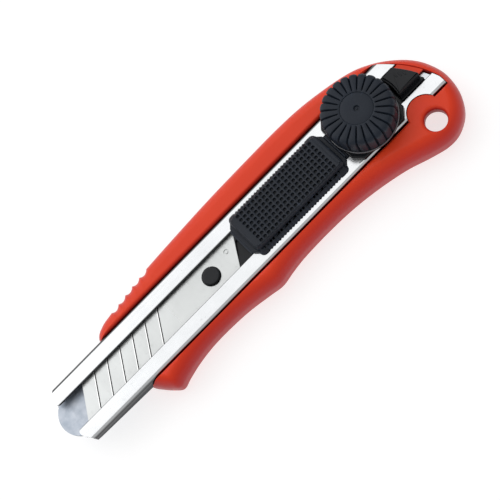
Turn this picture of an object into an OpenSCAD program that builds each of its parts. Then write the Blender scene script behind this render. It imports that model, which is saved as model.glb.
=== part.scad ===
// Snap-off knife with a screw lock, for 18 mm blades.
// A plastic grip holds a steel channel. The blade lies in the channel under its lips, on a
// carrier that a thumb slide pushes forward, and a knob behind the slide clamps it.
// X runs from the blade's tip to the lanyard hole, +Z is the open side of the channel, and the
// origin is on the flat back, on the channel's centre line. Millimetres.

/* [Blade] */
// Width of the blade
blade_w = 18; // [17.5:0.1:18]
// Thickness of the blade
blade_t = 0.6; // [0.4:0.05:0.65]
// Distance between snap lines, along the blade
snap_pitch = 5.42; // [5:0.1:6]
// Number of snap lines
snap_count = 6; // [4:1:8]
// Radius of the hole that takes the carrier's pin
blade_hole_r = 3.15; // [3:0.05:3.3]

/* [Channel] */
// Outer width of the steel channel
channel_w = 21.3; // [21:0.1:21.5]
// Width of the slot between the lips
slot_w = 10.4; // [10.2:0.1:10.6]
// Thickness of the sheet steel
sheet = 1.0; // [0.8:0.1:1]
// Height of the lips' top above the flat back
lip_top = 12; // [12:0.1:12.5]
// Outer depth of the channel in the grip
channel_depth = 5.8; // [5.6:0.1:6]
// Outer depth of the channel at its nose
nose_depth = 4.2; // [4:0.1:4.4]

/* [Slide] */
// Length of the thumb pad
pad_l = 37; // [34:1:38]
// Width of the thumb pad
pad_w = 13.6; // [12:0.2:14]
// Width of the flange under the pad, at its foot
flange_w = 17; // [16.5:0.1:17.5]
// Columns of grip holes in the pad
pad_cols = 20; // [8:1:20]
// Rows of grip holes in the pad
pad_rows = 8; // [4:1:8]

/* [Lock] */
// Radius of the lock knob
knob_r = 11.5; // [10:0.1:11.5]
// Height of the lock knob
knob_h = 7.1; // [6.5:0.1:7.5]
// Number of grooves in the knob
knob_grooves = 24; // [12:2:30]
// Radius of the clamp bolt
bolt_r = 2.0; // [1.8:0.1:2.2]

/* [Grip] */
// Radius of the lanyard hole
lanyard_r = 3.5; // [3:0.1:3.8]
// Length of the lanyard hole's straight wall
lanyard_l = 2.8; // [2.4:0.1:3]

/* [Hidden] */
$fn = 96;
fit = 0.08;                                   // running clearance, each side

// Levels, from the flat back up.
channel_z = lip_top - channel_depth;          // underside of the channel in the grip
floor_z = channel_z + sheet;                  // the channel's inner floor
lip_z = lip_top - sheet;                      // underside of the lips
nose_z = lip_top - nose_depth;                // underside of the channel's nose
blade_z = lip_top - 1.75 - blade_t;           // underside of the blade
carrier_z = nose_z + sheet + 0.2;             // underside of the carrier, clear of the nose
flange_z = lip_top + 0.12;                    // underside of the flange
flange_h = 1.5;
flange_slope = 0.9;                           // how far the flange's sides lean in
pad_z = flange_z + flange_h;
pad_h = 2.0;
shoe_h = 1.5;
ring_z = flange_z + shoe_h;                   // underside of the thrust washer
ring_h = 0.9;
knob_z = ring_z + ring_h + 0.06;
inner_w = channel_w - 2 * sheet;              // inside width of the channel

// Places along the channel.
nose_x = -75.25;                              // front edge of the lips
nose_r = 7.4;                                 // radius of the floor's tip
nose_cx = -71.35;
ramp_end = -50;                               // where the floor reaches its full depth
tip_x0 = -68.5;                               // the blade's cutting end, on the centre line
tail_x0 = -3.5;                               // the blade's rear end, on the centre line
slant = 0.591;                                // run of the blade's slanted ends per mm of width
pin_x = -14.3;                                // the carrier's pin
pad_x = 1;                                    // front edge of the pad
knob_x = 51.4;                                // axis of the lock knob
arc_r = 12.8;                                 // radius of the end block's face about the knob
hole_x = 65.9;                                // lanyard hole
hole_y = -16.6;
hole_top = lip_top - 1.2;                     // top of the lanyard hole's straight wall
lobe_x = 65.5;                                // round lobe of the grip that locks the lower lip
lobe_y = -12.5;
lobe_r = 5.65;
rear_cx = 37.7;                               // centre of the channel's round rear end
rear_cy = -17.9;
rear_r = 40;
rear_x = 76.4;                                // where that end is cut straight
block_gap = 2.5;                              // from the end block's rear to the channel's end
block_pin_x = 69;                             // pin that holds the end block
rivet_x = [-42, 42];                          // rivets that hold the channel in the grip
screw_x = [12, 35];                           // screws between the pad and its base
tongue_x = 18;                                // rear end of the carrier's tongue
base_x = 6.1;                                 // front of the slide's body in the channel
base_l = 34;
rail_x = 61;                                  // rear end of the rail in the slot
slot_fit = 0.15;                              // clearance of the rail and of what runs under the lips
wall_fit = 0.35;                              // clearance of the slide to the channel's walls
run_w = inner_w - 2 * wall_fit;               // width of what runs inside the channel
rail_w = slot_w - 2 * slot_fit;
run_top = lip_z - slot_fit;                   // top of what runs under the lips
clamp_top = lip_z - fit;                      // top of the clamp plate when the knob is tight
clamp_h = 1.5;
nut_r = 4.4;
nut_h = 4.4;
cap_r = 5.2;

// Outline of the grip seen from above, clockwise from the front of its spine.
GRIP_PTS = [
    [-52.9, 9.5], [-52.4, 13.2], [-49, 15.2], [-44.4, 16.1], [-35, 17.5], [-26.8, 18.3],
    [-15, 19.0], [0, 19.7], [15, 20.0], [30, 20.1], [41, 19.6], [51, 18.1], [60, 15.9],
    [66.3, 12.8], [71, 9.2], [75.1, 4.7], [77.8, -0.4], [79.1, -7], [77.7, -14.2],
    [74.1, -19.5], [69, -22.4], [64, -22.8], [58, -21.2], [50, -18.4], [40, -16.2],
    [30, -14.9], [20, -14.5], [10, -14.7], [4, -15.4], [-1, -16.2], [-6, -15.4],
    [-13, -14.3], [-20, -13.8], [-28, -13.8], [-35, -14.6], [-40.6, -15.9], [-44.2, -16.9],
    [-46.7, -15], [-49, -12.3], [-50.7, -9.8], [-51.6, -6]
];
// Section of the grip: how far each level is drawn in from the outline, and its height.
// It runs past the flat back and the flat top, which then cut it square.
GRIP_SECTION = [[4.0, -0.6], [3.0, 0], [1.5, 0.45], [0.6, 1.6], [0, 3.6], [0, 6.4], [0.35, 8.4],
                [1.2, 10.2], [2.4, 11.4], [4.2, lip_top], [5.0, lip_top + 0.6]];
grip_steps = 3;                               // spans drawn between two outline points
NOTCH_SPANS = [3, 4];                         // outline spans that carry the finger notches
notch_steps = 15;                             // spans drawn between two points there
notch_x = -44.1;                              // front end of the notches
notch_pitch = 3.4;
notch_count = 5;
notch_d = 0.8;

// A smooth curve between b and c, with a and d as the points before and after (Catmull-Rom).
function curve_at(a, b, c, d, t) =
    0.5 * (2 * b + (c - a) * t + (2 * a - 5 * b + 4 * c - d) * t * t
           + (3 * b - a - 3 * c + d) * t * t * t);
// How far a notch reaches in from the outline at x.
function notch_at(x) =
    let (u = (x - notch_x) / notch_pitch)
    u <= 0 || u >= notch_count ? 0 : notch_d * abs(sin(180 * u));
// The grip's outline: a smooth closed curve through its points, with the notches cut in.
function grip_outline(p) =
    let (m = len(p))
    [for (i = [0 : m - 1])
        let (notched = len(search(i, NOTCH_SPANS)) > 0, n = notched ? notch_steps : grip_steps)
        for (j = [0 : n - 1])
            let (q = curve_at(p[(i + m - 1) % m], p[i], p[(i + 1) % m], p[(i + 2) % m], j / n))
            notched ? [q[0], q[1] - notch_at(q[0])] : q];
// Draws a point in, towards the spine that the section shrinks to.
function drawn_in(p, by) =
    let (q = [min(max(p[0], -42), 62), p[0] > 40 ? -4 * (min(p[0], 62) - 40) / 22 : 0],
         v = q - p)
    p + by * v / norm(v);

// A solid with one ring of points to each level of a section.
module lofted(outline, section) {
    n = len(outline);
    m = len(section);
    pts = [for (s = section, p = outline) let (q = drawn_in(p, s[0])) [q[0], q[1], s[1]]];
    sides = [for (j = [0 : m - 2], i = [0 : n - 1], half = [0, 1])
        let (a = j * n + i, b = j * n + (i + 1) % n)
        half == 0 ? [a, b, b + n] : [a, b + n, a + n]];
    bottom = [[for (i = [n - 1 : -1 : 0]) i]];
    top = [[for (i = [0 : n - 1]) (m - 1) * n + i]];
    polyhedron(pts, concat(sides, bottom, top));
}

// A box given by its lowest and highest corners.
module span(lo, hi) {
    translate(lo)
        cube(hi - lo);
}

// A ring or disc about a vertical axis.
module ring(r_out, r_in, h) {
    difference() {
        cylinder(r = r_out, h = h);
        translate([0, 0, -1])
            cylinder(r = r_in, h = h + 2);
    }
}

// The blade's outline: two slanted ends at the same angle.
module blade_plan(x0, x1, w) {
    run = slant * w / 2;
    polygon([[x0 - run, -w / 2], [x1 - run, -w / 2], [x1 + run, w / 2], [x0 + run, w / 2]]);
}

// What lies inside the channel's rear end, drawn in by a distance.
module rear_end(by) {
    intersection() {
        union() {
            translate([-100, -60])
                square([100 + rear_cx, 120]);
            translate([rear_cx, rear_cy])
                circle(r = rear_r - by, $fn = 180);
        }
        translate([-100, -60])
            square([100 + rear_x - by, 120]);
    }
}

// Plan of the channel: a round tip, and a rear end that follows the grip's rim.
module channel_plan() {
    w = channel_w / 2;
    intersection() {
        union() {
            translate([nose_cx, 0])
                circle(r = nose_r);
            polygon([[-75.7, -6.1], [-74.7, -8.1], [-72.9, -w], [90, -w], [90, w], [-72.9, w],
                     [-74.7, 8.1], [-75.7, 6.1]]);
        }
        rear_end(0);
    }
}

// Side view of the channel from its ramped underside up, extruded across it.
module side_view(low_nose, low, high, w) {
    rotate([90, 0, 0])
        translate([0, 0, -w / 2])
            linear_extrude(w)
                polygon([[-90, low_nose], [-73.5, low_nose], [ramp_end, low], [90, low],
                         [90, high], [-90, high]]);
}

module handle_grip() {
    color("crimson")
    difference() {
        union() {
            difference() {
                intersection() {
                    lofted(grip_outline(GRIP_PTS), GRIP_SECTION);
                    span([-90, -60, 0], [110, 60, lip_top]);
                }
                // The pocket that the channel lies in
                translate([0, 0, channel_z])
                    linear_extrude(20)
                        channel_plan();
            }
            // The lobe that stands in the cut-out of the lower lip
            translate([lobe_x, lobe_y, lip_z])
                cylinder(r = lobe_r, h = sheet + 0.3);
        }
        // Lanyard hole, with a dish on the back
        translate([hole_x, hole_y, -1])
            cylinder(r = lanyard_r, h = 20);
        translate([hole_x, hole_y, -0.5])
            cylinder(r1 = lanyard_r + 3.2, r2 = lanyard_r, h = hole_top - lanyard_l + 0.5);
        translate([hole_x, hole_y, hole_top])
            cylinder(r1 = lanyard_r, r2 = lanyard_r + 2, h = 2);
        // Seats of the rivets and of the end block's pin
        for (x = rivet_x)
            translate([x, 0, 2.5])
                cylinder(r = 1.52, h = 10);
        translate([block_pin_x, 0, 2.5])
            cylinder(r = 1.27, h = 10);
    }
}

module blade_channel() {
    w = channel_w / 2;
    color("gainsboro")
    difference() {
        intersection() {
            linear_extrude(lip_top)
                channel_plan();
            side_view(nose_z, channel_z, lip_top, 40);
        }
        // The inside, open at both ends
        intersection() {
            side_view(nose_z + sheet, floor_z, lip_z, inner_w);
            span([-90, -w, 0], [90, w, lip_z]);
        }
        // The slot between the lips
        span([-90, -slot_w / 2, lip_z - 1], [90, slot_w / 2, lip_top + 1]);
        // Below the lips the nose is cut a little further back at its corners
        for (s = [-1, 1])
            translate([0, 0, -1])
                linear_extrude(nose_z + sheet + 1)
                    polygon([[-74.9, 7.0 * s], [-71.9, (w + 0.1) * s], [-80, 14 * s]]);
        // The lips stop short of the floor's tip, with cut corners
        translate([0, 0, floor_z + 1.7])
            linear_extrude(10)
                polygon([[-90, -20], [-67.6, -20], [nose_x, -7.3], [nose_x, 7.3], [-67.6, 20],
                         [-90, 20]]);
        // Cut-out of the lower lip for the grip's lobe
        translate([lobe_x, lobe_y, lip_z])
            cylinder(r = lobe_r + 0.03, h = 5);
        // Countersunk holes for the rivets, and the end block's pin
        for (x = rivet_x)
            translate([x, 0, channel_z - 0.01])
                cylinder(r1 = 1.52, r2 = 2.5, h = sheet + 0.02);
        translate([block_pin_x, 0, channel_z - 1])
            cylinder(r = 1.27, h = 3);
    }
}

module channel_rivets() {
    color("silver")
    for (x = rivet_x)
        translate([x, 0, 0]) {
            translate([0, 0, 2.6])
                cylinder(r = 1.5, h = channel_z - 2.6);
            translate([0, 0, channel_z])
                cylinder(r1 = 1.5, r2 = 2.35, h = sheet - 0.08);
        }
}

module end_block() {
    top_w = 7.8;
    block_top = lip_top + 4;
    face_x = knob_x + arc_r;
    color("dimgray")
    difference() {
        union() {
            // Foot in the channel, round at the rear like the channel itself
            translate([0, 0, floor_z + 0.02])
                linear_extrude(run_top - floor_z)
                    difference() {
                        intersection() {
                            translate([face_x - 2, -run_w / 2])
                                square([9.4, run_w]);
                            rear_end(0.2);
                        }
                        translate([knob_x, 0])
                            circle(r = arc_r - 1.2);
                    }
            // Block above the lips, with an arc about the knob in front
            translate([0, 0, run_top - 0.5])
                linear_extrude(block_top - run_top + 0.5)
                    difference() {
                        intersection() {
                            translate([face_x - 2, -top_w / 2])
                                square([12, top_w]);
                            rear_end(block_gap);
                        }
                        translate([knob_x, 0])
                            circle(r = arc_r);
                    }
        }
        translate([block_pin_x, 0, 0])
            cylinder(r = 1.27, h = lip_top + 1);
        // The front arc seats a thin ledge above the lips
        translate([knob_x, 0, block_top - 1])
            cylinder(r = arc_r + 0.3, h = 2);
    }
}

module end_block_pin() {
    color("silver")
    translate([block_pin_x, 0, 2.6])
        cylinder(r = 1.25, h = lip_top + 0.8 - 2.6);
}

module blade() {
    edge = 1.8;
    run = slant * blade_w / 2;
    color("lightgray")
    difference() {
        intersection() {
            translate([0, 0, blade_z])
                linear_extrude(blade_t)
                    blade_plan(tip_x0, tail_x0, blade_w);
            // Ground edge along the cutting side
            rotate([90, 0, 90])
                translate([0, 0, -90])
                    linear_extrude(180)
                        translate([-blade_w / 2, blade_z + blade_t / 2])
                            polygon([[0, -0.04], [edge, -blade_t / 2], [blade_w, -blade_t / 2],
                                     [blade_w, blade_t / 2], [edge, blade_t / 2], [0, 0.04]]);
        }
        for (i = [1 : snap_count])
            translate([snap_pitch * i, 0, blade_z + blade_t - 0.14])
                linear_extrude(1)
                    blade_plan(tip_x0 - 0.15, tip_x0 + 0.15, blade_w + 2);
        translate([pin_x, 0, 0])
            cylinder(r = blade_hole_r, h = lip_top);
    }
}

module blade_carrier() {
    tongue_w = 11;
    color("dimgray")
    difference() {
        union() {
            // Tongue under the blade, with a round end, and the pin that holds the blade
            translate([0, 0, carrier_z])
                linear_extrude(blade_z - carrier_z - 0.03) {
                    translate([pin_x - 1, 0])
                        circle(r = tongue_w / 2);
                    translate([pin_x - 1, -tongue_w / 2])
                        square([base_x - pin_x, tongue_w]);
                }
            translate([pin_x, 0, carrier_z])
                cylinder(r = blade_hole_r - 0.3, h = lip_z + 0.3 - carrier_z);
            // Shoulder that pushes the blade's tail, under the rail
            translate([0, 0, carrier_z])
                linear_extrude(run_top - 0.12 - carrier_z)
                    intersection() {
                        blade_plan(tail_x0 + 0.12, 30, run_w);
                        translate([-20, -run_w / 2])
                            square([20 + base_x - 0.1, run_w]);
                    }
            // Tongue under the slide, where the front screw holds it
            span([base_x - 1, -7, carrier_z], [tongue_x, 7, carrier_z + 0.9]);
        }
        translate([screw_x[0], 0, 0])
            cylinder(r = 1.12, h = lip_top);
        translate([screw_x[0], 0, carrier_z - 0.01])
            cylinder(r1 = 2.1, r2 = 1.12, h = 0.8);
    }
}

module slide_base() {
    low = carrier_z - 0.4;
    rib_n = 22;
    end_x = pad_x + pad_l;
    color("dimgray")
    difference() {
        union() {
            // Body in the channel
            span([base_x, -run_w / 2, low], [base_x + base_l, run_w / 2, run_top]);
            // Rail in the slot, as far as under the knob
            span([pad_x, -rail_w / 2, run_top - 0.1], [base_x + base_l, rail_w / 2, flange_z]);
            span([base_x + base_l - 1, -rail_w / 2, lip_z + 0.06], [rail_x, rail_w / 2, flange_z]);
            // Flange over the lips, with cut corners and leaning sides
            intersection() {
                translate([0, 0, flange_z])
                    linear_extrude(flange_h)
                        polygon([[pad_x + 1, -flange_w / 2], [end_x - 1, -flange_w / 2],
                                 [end_x, 1 - flange_w / 2], [end_x, flange_w / 2 - 1],
                                 [end_x - 1, flange_w / 2], [pad_x + 1, flange_w / 2],
                                 [pad_x, flange_w / 2 - 1], [pad_x, 1 - flange_w / 2]]);
                rotate([90, 0, 90])
                    linear_extrude(end_x)
                        polygon([[-flange_w / 2, flange_z], [flange_w / 2, flange_z],
                                 [flange_w / 2 - flange_slope, pad_z],
                                 [flange_slope - flange_w / 2, pad_z]]);
            }
        }
        // Step over the carrier's tongue
        span([base_x - 1, -20, 0], [tongue_x + 0.1, 20, carrier_z + 0.93]);
        // Grip grooves down the flange's long sides
        for (i = [0 : rib_n - 1], s = [-1, 1])
            translate([pad_x + 3.2 + i * (pad_l - 6.8) / (rib_n - 1),
                       s * (flange_w - flange_slope) / 2, flange_z + 0.75])
                cube([0.7, 0.5, 1.0], center = true);
        for (x = screw_x)
            translate([x, 0, 0])
                cylinder(r = 1.12, h = 30);
        translate([screw_x[1], 0, low - 0.01])
            cylinder(r1 = 2.1, r2 = 1.12, h = 0.8);
        translate([knob_x, 0, 0])
            cylinder(r = bolt_r + 0.25, h = 30);
    }
}

module thumb_pad() {
    end_bar = 3.2;
    hole = 0.8;
    depth = 0.9;
    col_l = pad_l - 2 * end_bar - 0.1;
    row_w = (pad_rows - 1) * 1.58;
    color("dimgray")
    translate([pad_x, 0, pad_z])
        difference() {
            // Body with sloping sides
            rotate([90, 0, 90])
                linear_extrude(pad_l)
                    polygon([[-pad_w / 2, 0], [pad_w / 2, 0], [pad_w / 2, pad_h - 0.7],
                             [pad_w / 2 - 0.6, pad_h], [0.6 - pad_w / 2, pad_h],
                             [-pad_w / 2, pad_h - 0.7]]);
            for (i = [0 : pad_cols - 1], j = [0 : pad_rows - 1])
                translate([end_bar + 0.05 + i * col_l / (pad_cols - 1),
                           j * row_w / (pad_rows - 1) - row_w / 2, pad_h])
                    cube([hole, hole, 2 * depth], center = true);
            for (x = screw_x)
                translate([x - pad_x, 0, -1])
                    cylinder(r = 1.12, h = 1.9);
        }
}

module slide_screws() {
    head = [carrier_z, carrier_z - 0.4];
    color("silver")
    for (i = [0, 1])
        translate([screw_x[i], 0, head[i] + 0.05]) {
            cylinder(r1 = 1.95, r2 = 1.1, h = 0.7);
            cylinder(r = 1.1, h = pad_z + 0.85 - head[i]);
        }
}

module friction_spring() {
    t = 0.25;
    high = carrier_z - 0.4 - t;
    low = floor_z + 0.12;
    color("silver")
    rotate([90, 0, 0])
        translate([0, 0, -3])
            linear_extrude(6)
                polygon([[19, high + t], [19, high], [21, high], [24.6, low], [27.4, low],
                         [31, high], [32.5, high], [32.5, high + t], [30.9, high + t],
                         [27.3, low + t], [24.7, low + t], [21.1, high + t]]);
}

module lock_shoe() {
    a = 11;
    b = 9.9;
    c = 2.7;
    d = 3.1;
    color("dimgray")
    translate([knob_x, 0, flange_z])
        difference() {
            linear_extrude(shoe_h)
                polygon([[-a, d - b], [c - a, -b], [a - c, -b], [a, d - b], [a, b - d],
                         [a - c, b], [c - a, b], [-a, b - d]]);
            translate([0, 0, -1])
                cylinder(r = bolt_r + fit, h = 5);
        }
}

module thrust_washer() {
    color("silver")
    translate([knob_x, 0, ring_z])
        ring(knob_r + 0.1, 6.2, ring_h);
}

module wave_washer() {
    color("silver")
    translate([knob_x, 0, ring_z + 0.02])
        ring(5.2, 2.5, ring_h - 0.1);
}

module lock_knob() {
    chamfer = 1.0;
    groove_w = 0.6;
    groove_d = 0.8;
    top = knob_z + knob_h;
    color("dimgray")
    difference() {
        translate([knob_x, 0, knob_z])
            rotate_extrude()
                polygon([[nut_r + 0.02, 0], [knob_r - 0.4, 0], [knob_r, 0.4],
                         [knob_r, knob_h - chamfer], [knob_r - chamfer, knob_h],
                         [cap_r + 0.03, knob_h], [cap_r + 0.03, knob_h - 0.8],
                         [nut_r + 0.02, knob_h - 0.8]]);
        for (i = [0 : knob_grooves - 1])
            translate([knob_x, 0, 0])
                rotate(360 / knob_grooves * i) {
                    span([cap_r + 0.5, -groove_w / 2, top - groove_d],
                         [knob_r + 1, groove_w / 2, top + 1]);
                    span([knob_r - 0.6, -groove_w / 2, knob_z - 1],
                         [knob_r + 1, groove_w / 2, top + 1]);
                }
    }
}

module knob_nut() {
    color("goldenrod")
    translate([knob_x, 0, knob_z + 0.1])
        ring(nut_r, bolt_r + fit, nut_h);
}

module knob_cap() {
    color("dimgray")
    translate([knob_x, 0, knob_z + knob_h - 0.78])
        difference() {
            cylinder(r = cap_r, h = 0.78);
            translate([0, 0, 0.5])
                cylinder(r = 0.5, h = 1);
        }
}

module clamp_bolt() {
    head_h = 1.3;
    head = clamp_top - clamp_h - head_h;
    top = knob_z + knob_h - 1.1;
    color("silver")
    translate([knob_x, 0, head]) {
        translate([-4, -4, 0])
            cube([8, 8, head_h]);
        difference() {
            cylinder(r = bolt_r, h = top - head);
            // Groove for the clip
            translate([0, 0, top - head - 0.9])
                ring(bolt_r + 1, bolt_r - 0.4, 0.5);
        }
    }
}

module clamp_plate() {
    color("silver")
    difference() {
        span([knob_x - 7.2, -run_w / 2 + 0.1, clamp_top - clamp_h + 0.02],
             [knob_x + 7.2, run_w / 2 - 0.1, clamp_top]);
        translate([knob_x, 0, 0])
            cylinder(r = bolt_r + 0.02, h = 20);
    }
}

module retaining_clip() {
    top = knob_z + knob_h - 1.1;
    color("silver")
    translate([knob_x, 0, top - 0.86])
        difference() {
            ring(3.4, bolt_r - 0.38, 0.42);
            span([0, -0.9, -1], [5, 0.9, 2]);
        }
}

handle_grip();
blade_channel();
channel_rivets();
end_block();
end_block_pin();
blade();
blade_carrier();
slide_base();
thumb_pad();
slide_screws();
friction_spring();
lock_shoe();
thrust_washer();
wave_washer();
lock_knob();
knob_nut();
knob_cap();
clamp_bolt();
clamp_plate();
retaining_clip();
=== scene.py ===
# A snap-off knife with a screw lock: its visible pieces, materials, light and camera.
# Every size is in millimetres until a mesh is made, and then in metres.
import math

import bmesh
import bpy
from mathutils import Matrix, Vector


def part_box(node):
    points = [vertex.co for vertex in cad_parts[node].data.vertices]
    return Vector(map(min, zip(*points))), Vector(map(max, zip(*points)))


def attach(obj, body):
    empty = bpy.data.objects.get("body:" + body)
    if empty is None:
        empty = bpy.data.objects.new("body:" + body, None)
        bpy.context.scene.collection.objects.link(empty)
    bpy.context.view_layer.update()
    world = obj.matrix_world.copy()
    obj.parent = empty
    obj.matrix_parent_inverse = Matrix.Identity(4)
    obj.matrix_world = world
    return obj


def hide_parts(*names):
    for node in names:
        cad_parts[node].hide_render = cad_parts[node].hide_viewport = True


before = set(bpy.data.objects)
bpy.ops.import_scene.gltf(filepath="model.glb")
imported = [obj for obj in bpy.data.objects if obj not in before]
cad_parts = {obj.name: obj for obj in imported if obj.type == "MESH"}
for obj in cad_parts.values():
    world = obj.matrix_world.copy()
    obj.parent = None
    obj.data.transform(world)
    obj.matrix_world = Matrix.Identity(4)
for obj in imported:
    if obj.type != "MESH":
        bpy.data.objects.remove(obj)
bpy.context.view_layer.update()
MM = 0.001
scene = bpy.context.scene


def node_box(node):
    """A node's lowest and highest corners, in millimetres."""
    low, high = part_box(node)
    return Vector(low) / MM, Vector(high) / MM


# ---------------------------------------------------------------- places taken from the frame
channel_lo, channel_hi = node_box("blade_channel")
pad_lo, pad_hi = node_box("thumb_pad")
base_lo, _ = node_box("slide_base")
shoe_lo, shoe_hi = node_box("lock_shoe")
ring_lo, ring_hi = node_box("thrust_washer")
knob_lo, knob_hi = node_box("lock_knob")
cap_lo, cap_hi = node_box("knob_cap")
blade_lo, blade_hi = node_box("blade")
block_lo, block_hi = node_box("end_block")
carrier_lo, carrier_hi = node_box("blade_carrier")

LIP_TOP = channel_hi.z
CHANNEL_W = channel_hi.y           # half the channel
SHEET = 1.0                        # thickness of the channel's steel
LIP_LOW = LIP_TOP - SHEET
UNDER_LIP = 10.85                  # top of what runs under the lips
NOSE_Z = LIP_TOP - 4.2             # the channel's underside at its nose
FLOOR_Z = channel_lo.z
SLOT_W = 5.2                       # half the slot
RUN_W = CHANNEL_W - SHEET - 0.35   # half of what runs inside the channel
KNOB_X = (knob_lo.x + knob_hi.x) / 2
KNOB_R = (knob_hi.y - knob_lo.y) / 2
REAR = (37.7, -17.9)               # centre of the channel's round rear end
REAR_R = 40.0
REAR_X = 76.4                      # where that end is cut straight
LOBE = (65.5, -12.5)               # the grip's lobe that stands in the lower lip
LOBE_R = 5.65
HOLE = (65.9, -16.6)               # the lanyard hole
HOLE_R = 3.5
PIN_X = -14.3                      # the carrier's pin and the blade's hole
SLANT = 0.591                      # run of the blade's slanted ends per mm of width
BLADE_TIP = -68.5                  # the blade's cutting end, on the centre line
SNAP_PITCH = 5.42
SNAP_LINES = 6
ABOVE = 30                         # higher than the whole knife: where cutting tools end


# ---------------------------------------------------------------- mesh helpers
def quarter(n):
    """n + 1 angles from 0 to a right angle, in radians."""
    return [math.pi / 2 * k / n for k in range(n + 1)]


def arc(cx, cy, r, a0, a1, n):
    """n + 1 points on an arc, its angles in degrees."""
    out = []
    for i in range(n + 1):
        a = math.radians(a0 + (a1 - a0) * i / n)
        out.append((cx + r * math.cos(a), cy + r * math.sin(a)))
    return out


def mirrored(half):
    """A line of points with y below 0, and then its mirror image running back."""
    return half + [(x, -y) for x, y in reversed(half)]


def smooth_curve(p, steps):
    """A closed Catmull-Rom curve through p, with steps(i) points in span i."""
    out, m = [], len(p)
    for i in range(m):
        a, b, c, d = (Vector(p[(i + k) % m]) for k in (-1, 0, 1, 2))
        n = steps(i)
        for j in range(n):
            t = j / n
            out.append(0.5 * (2 * b + (c - a) * t + (2 * a - 5 * b + 4 * c - d) * t * t
                              + (3 * b - a - 3 * c + d) * t ** 3))
    return out


def rounded(points, radii, n=6):
    """A polygon with its corners rounded; a radius of 0 leaves a corner sharp."""
    out, m = [], len(points)
    for i in range(m):
        p = Vector(points[i])
        r = radii[i] if isinstance(radii, (list, tuple)) else radii
        if r <= 0:
            out.append(tuple(p))
            continue
        u = (Vector(points[i - 1]) - p).normalized()
        v = (Vector(points[(i + 1) % m]) - p).normalized()
        half = math.acos(max(-1, min(1, u.dot(v)))) / 2
        reach = r / math.tan(half)
        centre = p + (u + v).normalized() * (r / math.sin(half))
        a, b = p + u * reach - centre, p + v * reach - centre
        turn = a.angle_signed(b)
        for k in range(n + 1):
            w = a.copy()
            w.rotate(Matrix.Rotation(-turn * k / n, 2))
            out.append(tuple(centre + w))
    return out


def rounded_box(x0, x1, y, r, n=6):
    """Outline of a box from x0 to x1 and from -y to y, with round corners."""
    return rounded([(x0, -y), (x1, -y), (x1, y), (x0, y)], r, n)


class Shape:
    """Vertices and faces that grow into one mesh."""

    def __init__(self):
        self.v, self.f = [], []

    def ring(self, points):
        start = len(self.v)
        self.v += [tuple(p) for p in points]
        return list(range(start, len(self.v)))

    def bridge(self, a, b, closed=True):
        n = len(a)
        for i in range(n if closed else n - 1):
            j = (i + 1) % n
            self.f.append((a[i], a[j], b[j], b[i]))

    def cap(self, a, flip=False):
        self.f.append(tuple(reversed(a)) if flip else tuple(a))

    def piece(self, name):
        mesh = bpy.data.meshes.new(name)
        mesh.from_pydata([[c * MM for c in p] for p in self.v], [], self.f)
        mesh.update()
        bm = bmesh.new()
        bm.from_mesh(mesh)
        bmesh.ops.remove_doubles(bm, verts=bm.verts, dist=1e-7)
        bmesh.ops.recalc_face_normals(bm, faces=bm.faces)
        bm.to_mesh(mesh)
        bm.free()
        obj = bpy.data.objects.new(name, mesh)
        scene.collection.objects.link(obj)
        return obj


def loft(name, rings):
    """A closed solid through rings of 3-D points, with a flat cap at each end."""
    s = Shape()
    ids = [s.ring(r) for r in rings]
    for a, b in zip(ids, ids[1:]):
        s.bridge(a, b)
    s.cap(ids[0], True)
    s.cap(ids[-1])
    return s.piece(name)


def inset(points, by):
    """A closed outline moved in by a distance, square to its own run."""
    m, out = len(points), []
    area = sum(points[i - 1][0] * points[i][1] - points[i][0] * points[i - 1][1]
               for i in range(m))
    side = 1 if area > 0 else -1
    for i in range(m):
        t = Vector(points[(i + 1) % m]) - Vector(points[i - 1])
        if t.length < 1e-9:
            out.append(tuple(points[i]))
            continue
        t.normalize()
        out.append((points[i][0] - side * t.y * by, points[i][1] + side * t.x * by))
    return out


def edge_rings(plan, z, r, way):
    """Rings round a plan's edge at height z: its top edge (way 1) or its bottom edge (-1)."""
    if r == 0:
        return [[(x, y, z) for x, y in plan]]
    return [[(x, y, z - way * r * (1 - math.sin(a)))
             for x, y in inset(plan, r * (1 - math.cos(a)))] for a in quarter(4)]


def slab(name, plan, z0, z1, top=0.3, bottom=0.0):
    """A solid with a plan outline, its top and bottom edges rounded."""
    return loft(name, edge_rings(plan, z0, bottom, -1)[::-1] + edge_rings(plan, z1, top, 1))


def turned_edge(side, top, r):
    """Profile points of a turned piece's rounded top edge."""
    return [(side - r * (1 - math.cos(a)), top - r * (1 - math.sin(a))) for a in quarter(6)]


def lathe(name, profile, cx, cy, n=96):
    """A solid of revolution about a vertical axis; the profile's ends lie on the axis or meet."""
    s = Shape()
    rings = []
    for r, z in profile:
        if r < 1e-6:
            rings.append(s.ring([(cx, cy, z)]))
            continue
        rings.append(s.ring([(cx + r * math.cos(2 * math.pi * i / n),
                              cy + r * math.sin(2 * math.pi * i / n), z) for i in range(n)]))
    pairs = list(zip(rings, rings[1:]))
    if len(rings[0]) > 1:
        pairs.append((rings[-1], rings[0]))
    for a, b in pairs:
        if len(a) == 1 and len(b) == 1:
            continue
        if len(a) == 1 or len(b) == 1:
            tip, around = (a[0], b) if len(a) == 1 else (b[0], a)
            for i in range(n):
                s.f.append((tip, around[i], around[(i + 1) % n]))
        else:
            s.bridge(a, b)
    return s.piece(name)


def post(name, r, z0, z1, cx, cy, n=96):
    """A plain upright cylinder, as a cutting tool."""
    return lathe(name, [(0, z0), (r, z0), (r, z1), (0, z1)], cx, cy, n)


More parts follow.
